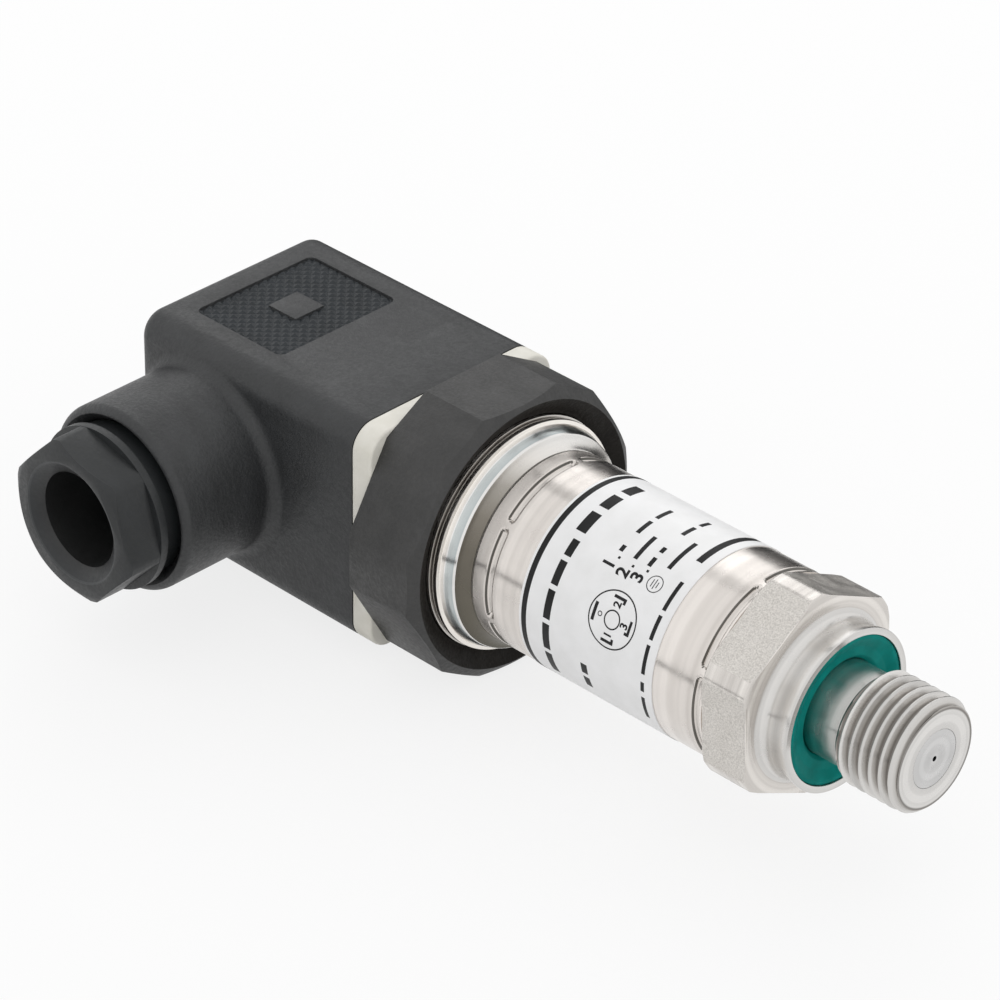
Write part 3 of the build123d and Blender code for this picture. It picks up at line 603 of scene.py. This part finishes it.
def makeBodyTube():
    inside = [(tube["frontX"], tube["innerR"])]
    outside = [(x, tube["outerR"]) for x in tubeStations()]
    rear = [(tube["rearX"], tube["outerR"] - tube["rearChamfer"]), (tube["rearX"], tube["innerR"])]
    line = inside + outside + rear + inside
    piece = drawLine("bodyTube", [(x, r, 0) for x, r in line])
    spinRound(piece, tube["steps"])
    for vertex in piece.data.vertices:
        x, y, z = (c / mm for c in vertex.co)
        radius = math.hypot(y, z)
        if radius > tube["outerR"] - tube["slack"]:
            setRadius(vertex, radius, radius - beadDepth(x, math.degrees(math.atan2(z, y))))
    smoothByAngle(piece, tube["smoothing"])
    standsFor(piece, "body_tube")
    return piece


def isBeadShade(middle, normal):
    # painted shade on the beads' rear flanks and on the tube's rear chamfer
    depth = beadDepth(middle.x, math.degrees(math.atan2(middle.z, middle.y)))
    flank = (-tube["beadHalf"], -tube["shadeFrom"])
    behind = any(within(middle.x - beadX, flank) for beadX in tube["beadX"])
    chamfer = middle.x < tube["rearX"] + tube["rearChamfer"]
    return chamfer or (behind and within(depth, tube["shadeDepths"]))


bodyTube = makeBodyTube()
dress(bodyTube, "tube")
dressFaces(bodyTube, "beadShade", isBeadShade)
print("bodyTube:", len(bodyTube.data.polygons), "faces")

# flange ring, base, gasket, housing and gland: name, edge width, segments and look
edges = {
    "flange_ring": ("flangeRing", 0.08, 2, "flange"),
    "connector_base": ("connectorBase", 0.22, 3, "base"),
    "profile_gasket": ("profileGasket", 0.3, 3, "gasket"),
    "plug_housing": ("plugHousing", 0.18, 2, "housing"),
    "gland_nut": ("glandNut", 0.16, 3, "nut"),
    "gland_seal": ("glandSeal", 0.15, 2, "rubber"),
    "thrust_ring": ("thrustRing", 0.1, 2, "ring"),
    "centre_screw": ("centreScrew", 0.06, 2, "zinc"),
    "screw_washer": ("screwWasher", 0.06, 2, "zinc"),
}
made = {}
for node, (name, width, segments, look) in edges.items():
    made[node] = copyOfNode(node, name, width, segments)
    dress(made[node], look)
    print(name + ":", len(made[node].data.polygons), "faces")

# parts of them that lie in shade, where the shade is painted into their colour
flange = {"rootX": (-45.22, -44.05), "rootR": 11.3}
nut = {"crescentY": (-29.6, -27.9), "lean": -0.8}
base = {"boreX": (-52.0, -47.2), "boreR": 16.1, "inwards": -0.1}


# painted shade on the flange ring's hollow root
def isShadedFlangeRoot(middle, normal):
    return within(middle.x, flange["rootX"]) and radiusOf(middle) > flange["rootR"]


def isShadedCrescent(middle, normal):
    # painted shade between the nut's hexagon and its collar
    return normal.y < nut["lean"] and within(middle.y, nut["crescentY"])


# painted shade on the base's bore, where it looks at the axis
def isShadedBaseBore(middle, normal):
    return (within(middle.x, base["boreX"]) and radiusOf(middle) < base["boreR"]
            and outwards(middle, normal) < base["inwards"])


dressFaces(made["flange_ring"], "flangeRootShade", isShadedFlangeRoot)
dressFaces(made["gland_nut"], "shadeBlack", isShadedCrescent)
dressFaces(made["connector_base"], "shadeBlack", isShadedBaseBore)

# grip patch on the plug: a sheet of small pillows round the raised square
patch = {"length": 13.8, "width": 17.7, "floorZ": 13.66, "height": 0.24, "pitch": 1.0,
         "button": 4.5, "thickness": 0.1, "turn": 45}


def makeGripPatch():
    deselectAll()
    cells = math.ceil(math.hypot(patch["length"], patch["width"]) / patch["pitch"]) + 2
    side = cells * patch["pitch"]
    bpy.ops.mesh.primitive_grid_add(x_subdivisions=cells, y_subdivisions=cells, size=side * mm,
                                    rotation=(0, 0, math.radians(patch["turn"])),
                                    location=(plugX * mm, 0, patch["floorZ"] * mm))
    piece = bpy.context.object
    piece.name = "gripPatch"
    applyTransform()
    editAll(piece)
    bpy.ops.mesh.poke(offset=patch["height"] * mm)
    for direction in ((1, 0), (-1, 0), (0, 1), (0, -1)):
        half = patch["length"] / 2 if direction[0] else patch["width"] / 2
        for away, cut in ((half, True), (patch["button"] / 2, False)):
            place = ((plugX + direction[0] * away) * mm, direction[1] * away * mm, 0)
            bpy.ops.mesh.select_all(action="SELECT")
            bpy.ops.mesh.bisect(plane_co=place, plane_no=(*direction, 0), clear_outer=cut)
    bpy.ops.mesh.select_all(action="DESELECT")
    bpy.ops.mesh.select_mode(type="FACE")
    mesh = bmesh.from_edit_mesh(piece.data)
    for face in mesh.faces:
        centre = face.calc_center_median() / mm
        if max(abs(centre.x - plugX), abs(centre.y)) < patch["button"] / 2:
            face.select_set(True)
    bmesh.update_edit_mesh(piece.data)
    bpy.ops.mesh.delete(type="FACE")
    bpy.ops.object.mode_set(mode="OBJECT")
    applyModifier(piece, "SOLIDIFY", thickness=patch["thickness"] * mm, offset=-1)
    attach(piece, "plug")
    dress(piece, "patch")
    return piece


gripPatch = makeGripPatch()
print("gripPatch:", len(gripPatch.data.polygons), "faces")

# label print, drawn on a flat sheet: x is the station, place the length round the label
printed = {"radius": 11.503, "thickness": 0.012, "cell": 0.5, "ringSides": 72,
           "digitOffset": 0.028, "digitCurve": 4, "digitCuts": 2, "digitTurn": 90}
# station, width and the turns between which bars run: two bands, then bars in place of words
bars = (
    (-36.0, 0.72, ((-78, 258),)),
    (-18.8, 0.85, ((56, 105),)),
    (-32.7, 1.0, ((214, 197), (194, 177), (174, 157), (154, 140), (137, 127))),
    (-33.0, 1.4, ((122, 108), (103, 91), (86, 74))),
    (-27.2, 0.9, ((208, 200), (197, 190))),
    (-27.3, 0.55, ((121, 117), (107, 96), (92, 80))),
    (-25.2, 0.55, ((121, 104),)),
    (-23.2, 0.55, ((121, 115), (111, 107), (94, 84), (80, 72))),
    (-21.0, 0.55, ((117, 95),)),
    (-18.5, 0.5, ((206, 190), (186, 180), (175, 158), (155, 141), (138, 120))),
)
# numbers of a list, each with a dot: number, station and turn
listed = {"rows": (("1", -27.5, 130.0), ("2", -25.4, 130.6), ("3", -23.5, 129.2)),
          "height": 2.2, "dotX": 0.6, "dotPlace": 1.1, "dotSize": 0.3}
# earth sign: a ring with three lines, each with its offset and length
earth = {"x": -21.2, "turn": 128.0, "ringR": 1.0, "line": 0.1,
         "lines": ((-0.35, 0.9), (0.0, 1.2), (0.35, 0.7))}
# pin diagram: number, and the way to its pin on the sheet
diagram = {"x": -24.04, "turn": 155.6, "outerR": 3.27, "innerR": 1.1, "ringLine": 0.16,
           "pins": (("2", 0, 1), ("3", 1, 0), ("1", 0, -1)),
           "earthX": -2.55, "earthWide": 0.42, "earthLong": 2.1,
           "dotX": -1.75, "dotR": 0.3, "dotLine": 0.1,
           "barR": 2.5, "barLong": 1.7, "barWide": 0.34,
           "hookR": 2.3, "hookAside": 0.7, "hookLong": 0.6, "digitR": 1.75, "digitHeight": 1.4}


def sheetTurn(turn):
    # place round the label as a length on the flat sheet, which runs against the turn
    return -math.radians(turn) * printed["radius"]


def wrapped(piece):
    # from the flat sheet onto the label's round
    r = printed["radius"]
    for vertex in piece.data.vertices:
        x, place, _ = (c / mm for c in vertex.co)
        turn = -place / r
        vertex.co = Vector((x, r * math.cos(turn), r * math.sin(turn))) * mm


def flatBlock(x, place, sizeX, sizeAround):
    deselectAll()
    cuts = max(1, round(sizeAround / printed["cell"]))
    bpy.ops.mesh.primitive_grid_add(x_subdivisions=1, y_subdivisions=cuts, size=mm,
                                    location=(x * mm, place * mm, 0))
    piece = bpy.context.object
    piece.scale = (sizeX, sizeAround, 1)
    applyTransform()
    return piece


def flatBar(x, width, fromTurn, toTurn):
    # a bar of print round the label, from one turn to another
    start, end = sorted((sheetTurn(fromTurn), sheetTurn(toTurn)))
    return flatBlock(x, (start + end) / 2, width, end - start)


def flatRing(x, place, radius, width):
    deselectAll()
    bpy.ops.mesh.primitive_circle_add(vertices=printed["ringSides"], radius=radius * mm,
                                      location=(x * mm, place * mm, 0))
    piece = bpy.context.object
    applyTransform()
    editAll(piece)
    bpy.ops.mesh.extrude_edges_move()
    share = (radius - width) / radius
    bpy.ops.transform.resize(value=(share, share, 1), center_override=(x * mm, place * mm, 0))
    bpy.ops.object.mode_set(mode="OBJECT")
    return piece


def flatDigit(text, x, place, height):
    deselectAll()
    bpy.ops.object.text_add(location=(x * mm, place * mm, 0),
                            rotation=(0, 0, math.radians(printed["digitTurn"])))
    piece = bpy.context.object
    piece.data.body = text
    piece.data.size = height * mm
    piece.data.offset = height * printed["digitOffset"] * mm
    piece.data.align_x = "CENTER"
    piece.data.align_y = "CENTER"
    piece.data.resolution_u = printed["digitCurve"]
    bpy.ops.object.convert(target="MESH")
    applyTransform()
    editAll(piece)
    bpy.ops.mesh.remove_doubles(threshold=cleaning["lineMerge"])
    bpy.ops.mesh.subdivide(number_cuts=printed["digitCuts"])
    bpy.ops.object.mode_set(mode="OBJECT")
    return piece


def earthSign():
    x, place = earth["x"], sheetTurn(earth["turn"])
    shapes = [flatRing(x, place, earth["ringR"], earth["line"])]
    for offset, long in earth["lines"]:
        shapes.append(flatBlock(x + offset, place, earth["line"], long))
    return shapes


def pinDiagram():
    # two rings, a hooked bar at each of three pins with a plain number, and the earth pin
    x, place = diagram["x"], sheetTurn(diagram["turn"])
    wide = diagram["barWide"]
    shapes = [
        flatRing(x, place, diagram["outerR"], diagram["ringLine"]),
        flatRing(x, place, diagram["innerR"], diagram["ringLine"]),
        flatBlock(x + diagram["earthX"], place, diagram["earthWide"], diagram["earthLong"]),
        flatRing(x + diagram["dotX"], place, diagram["dotR"], diagram["dotLine"]),
    ]
    for text, away, around in diagram["pins"]:
        bar = (wide, diagram["barLong"]) if away else (diagram["barLong"], wide)
        hook = (wide, diagram["hookLong"]) if around else (diagram["hookLong"], wide)
        barR, hookR, digitR = diagram["barR"], diagram["hookR"], diagram["digitR"]
        shapes.append(flatBlock(x + barR * away, place + barR * around, *bar))
        hookX = x + hookR * away + diagram["hookAside"] * abs(around)
        hookPlace = place + hookR * around - diagram["hookAside"] * away
        shapes.append(flatBlock(hookX, hookPlace, *hook))
        shapes.append(flatDigit(text, x + digitR * away, place + digitR * around,
                                diagram["digitHeight"]))
    return shapes


def makeLabelPrint():
    shapes = [flatBar(x, width, start, end) for x, width, turns in bars for start, end in turns]
    for text, x, turn in listed["rows"]:
        shapes.append(flatDigit(text, x, sheetTurn(turn), listed["height"]))
        shapes.append(flatBlock(x + listed["dotX"], sheetTurn(turn) + listed["dotPlace"],
                                listed["dotSize"], listed["dotSize"]))
    piece = joinPieces(shapes + earthSign() + pinDiagram())
    piece.name = "labelPrint"
    wrapped(piece)
    applyModifier(piece, "SOLIDIFY", thickness=printed["thickness"] * mm, offset=0)
    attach(piece, "sensor")
    dress(piece, "ink")
    return piece


labelPrint = makeLabelPrint()
print("labelPrint:", len(labelPrint.data.polygons), "faces")

# CAD pieces that stay as they are
kept = {"label": "label", "cell_o_ring": "rubber", "sensor_cell": "ceramic",
        "cell_retaining_ring": "inner", "circuit_board": "board", "board_components": "component",
        "sensor_leads": "wire", "pin_leads": "wire", "base_o_ring": "rubber",
        "screw_insert": "brass", "contact_insert": "insertBlock", "terminal_screws": "zinc"}
for pin in ("1", "2", "3", "earth"):
    kept["contact_blade_" + pin] = "tinned"
    kept["socket_contact_" + pin] = "tinned"
for node, look in kept.items():
    dress(nodes[node], look)
print("dressed CAD nodes:", len(kept))

# floor, light and dark cards; the floor's and the lamp's sizes and places are in metres
studio = {"floorPlace": (-0.04, 0, -0.01685), "floorSize": 3.0, "floorTone": 0.86,
          "floorGlow": 0.8, "ambient": 0.95, "keyEnergy": 5.1, "keySize": 1.2,
          "keyPlace": (-0.82, 0.84, 0.62), "keyTarget": (-0.04, 0, 0)}
# place, the point it faces, width and height
cards = {
    # one on the floor and one upright, for the dark sides of the steel
    "cardBehind": ((-120, 150, -16.6), (-120, 150, 100), 200, 160),
    "cardUpright": ((-115, 150, 24), (-5, 5, 24), 200, 86),
    # behind the lamp, so metal sees the lamp and not the sky and the lamp together
    "cardLamp": ((-930, 950, 710), (-40, 0, 0), 1380, 1380),
    # a low strip for the fine dark line along the rounds
    "cardLine": ((-85, -100, -13.6), (-85, 0, -13.6), 140, 6),
}


def directRays(tree):
    # 1 for what the camera sees, directly or through a reflection, and 0 for light on the part
    path = tree.nodes.new("ShaderNodeLightPath")
    direct = path.outputs["Is Camera Ray"]
    for kind in ("Is Glossy Ray", "Is Transmission Ray"):
        either = tree.nodes.new("ShaderNodeMath")
        either.operation = "MAXIMUM"
        tree.links.new(direct, either.inputs[0])
        tree.links.new(path.outputs[kind], either.inputs[1])
        direct = either.outputs[0]
    return direct


def mixedSurface(tree, output, share, indirect, direct):
    mix = tree.nodes.new("ShaderNodeMixShader")
    tree.links.new(share, mix.inputs["Fac"])
    tree.links.new(indirect.outputs[0], mix.inputs[1])
    tree.links.new(direct.outputs[0], mix.inputs[2])
    tree.links.new(mix.outputs[0], tree.nodes.new(output).inputs["Surface"])


def makeFloor():
    deselectAll()
    bpy.ops.mesh.primitive_plane_add(size=studio["floorSize"], location=studio["floorPlace"])
    floor = bpy.context.object
    floor.name = "floor"
    material = bpy.data.materials.new("floorWhite")
    material.use_nodes = True
    tree = material.node_tree
    tree.nodes.clear()
    diffuse = tree.nodes.new("ShaderNodeBsdfDiffuse")
    diffuse.inputs["Color"].default_value = (*[studio["floorTone"]] * 3, 1)
    glow = tree.nodes.new("ShaderNodeEmission")
    glow.inputs["Strength"].default_value = 1.0
    share = tree.nodes.new("ShaderNodeMath")
    share.operation = "MULTIPLY"
    share.inputs[1].default_value = studio["floorGlow"]
    tree.links.new(directRays(tree), share.inputs[0])
    mixedSurface(tree, "ShaderNodeOutputMaterial", share.outputs[0], diffuse, glow)
    floor.data.materials.append(material)


def makeWorld():
    world = bpy.data.worlds.new("studio")
    bpy.context.scene.world = world
    world.use_nodes = True
    tree = world.node_tree
    tree.nodes.clear()
    skies = [tree.nodes.new("ShaderNodeBackground") for _ in range(2)]
    for sky, strength in zip(skies, (studio["ambient"], 1.0)):
        sky.inputs["Color"].default_value = (1, 1, 1, 1)
        sky.inputs["Strength"].default_value = strength
    mixedSurface(tree, "ShaderNodeOutputWorld", directRays(tree), *skies)


def makeLamp():
    light = bpy.data.lights.new("keyLight", "AREA")
    light.shape = "DISK"
    light.size = studio["keySize"]
    light.energy = studio["keyEnergy"]
    lamp = bpy.data.objects.new("keyLight", light)
    bpy.context.scene.collection.objects.link(lamp)
    lamp.location = studio["keyPlace"]
    aim = Vector(studio["keyTarget"]) - Vector(studio["keyPlace"])
    lamp.rotation_euler = aim.to_track_quat("-Z", "Y").to_euler()
    lamp.visible_camera = False


def darkCard(name, place, target, width, height):
    # a black card that only shows in the steel, as a studio flag does
    deselectAll()
    bpy.ops.mesh.primitive_plane_add(size=1, location=[c * mm for c in place])
    card = bpy.context.object
    card.name = name
    card.scale = (width * mm, height * mm, 1)
    aim = (Vector(target) - Vector(place)) * mm
    card.rotation_euler = aim.to_track_quat("Z", "Y").to_euler()
    card.data.materials.append(looks["ink"])
    for kind in ("visible_camera", "visible_diffuse", "visible_shadow", "visible_transmission"):
        setattr(card, kind, False)


makeFloor()
makeWorld()
for name, values in cards.items():
    darkCard(name, *values)
makeLamp()

# camera: place, the way it looks and its lens; clipping is in metres
view = {"place": (264.958, -324.108, 289.996), "azimuth": 44.271, "elevation": 32.394,
        "roll": 0.881, "lens": 175.1, "sensor": 36.0, "clip": (0.05, 20)}
azimuth, elevation, roll = (math.radians(view[k]) for k in ("azimuth", "elevation", "roll"))
back = Vector((math.sin(azimuth) * math.cos(elevation), -math.cos(azimuth) * math.cos(elevation),
               math.sin(elevation)))
level = Vector((math.cos(azimuth), math.sin(azimuth), 0))
upright = back.cross(level)
right = math.cos(roll) * level + math.sin(roll) * upright
upward = -math.sin(roll) * level + math.cos(roll) * upright
lens = bpy.data.cameras.new("camera")
lens.lens = view["lens"]
lens.sensor_width = view["sensor"]
lens.clip_start, lens.clip_end = view["clip"]
camera = bpy.data.objects.new("camera", lens)
bpy.context.scene.collection.objects.link(camera)
turned = Matrix((right, upward, back)).transposed().to_4x4()
camera.matrix_world = Matrix.Translation(Vector(view["place"]) * mm) @ turned
bpy.context.scene.camera = camera
bpy.context.scene.view_settings.view_transform = "Standard"
print("studio ready")
